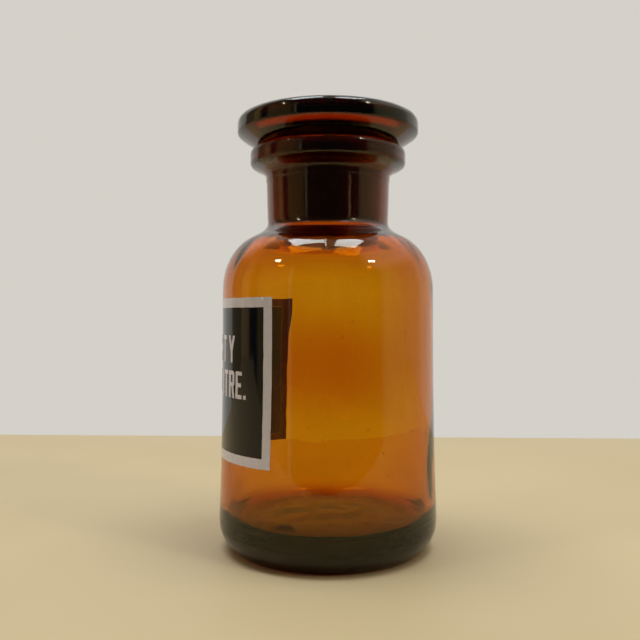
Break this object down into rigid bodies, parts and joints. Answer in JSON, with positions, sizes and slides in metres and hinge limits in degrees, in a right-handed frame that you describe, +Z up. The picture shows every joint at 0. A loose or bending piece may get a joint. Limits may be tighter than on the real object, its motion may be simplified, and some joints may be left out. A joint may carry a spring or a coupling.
{
  "type": "reagent bottle",
  "caption": "Wide-mouth amber glass reagent bottle with a flared lip, ground disc-head stopper and a fired enamel label on its side.",
  "frame": {"origin": "centre of the base, in the plane of the foot ring", "axes": "+Z up along the axis of the bottle; the label faces -Y, and +X is to the right of a person reading it"},
  "size_m": [0.0724, 0.0724, 0.1422],
  "materials": {
    "amber_glass": "gloss",
    "white_enamel": "satin",
    "black_enamel": "satin"
  },
  "bodies": {
    "bottle": {"bottle": "amber_glass", "label_border": "white_enamel", "label_field": "black_enamel", "letter_upper_1": "white_enamel", "letter_upper_2": "white_enamel", "letter_upper_3": "white_enamel", "letter_upper_4": "white_enamel", "letter_upper_5": "white_enamel", "letter_upper_6": "white_enamel", "letter_upper_7": "white_enamel", "letter_upper_8": "white_enamel", "letter_lower_1": "white_enamel", "letter_lower_2": "white_enamel", "letter_lower_3": "white_enamel", "letter_lower_4": "white_enamel", "letter_lower_5": "white_enamel", "letter_lower_6": "white_enamel", "letter_lower_7": "white_enamel", "letter_lower_8": "white_enamel", "letter_lower_9": "white_enamel", "letter_lower_10": "white_enamel", "letter_lower_11": "white_enamel", "letter_lower_12": "white_enamel", "letter_lower_13": "white_enamel", "letter_lower_14": "white_enamel"},
    "stopper": {"stopper": "amber_glass"}
  },
  "joints": [
    {"name": "stopper_lift", "type": "slide", "parent": "bottle", "child": "stopper", "axis": [0, 0, 1], "range_m": [0, 0.05]}
  ]
}
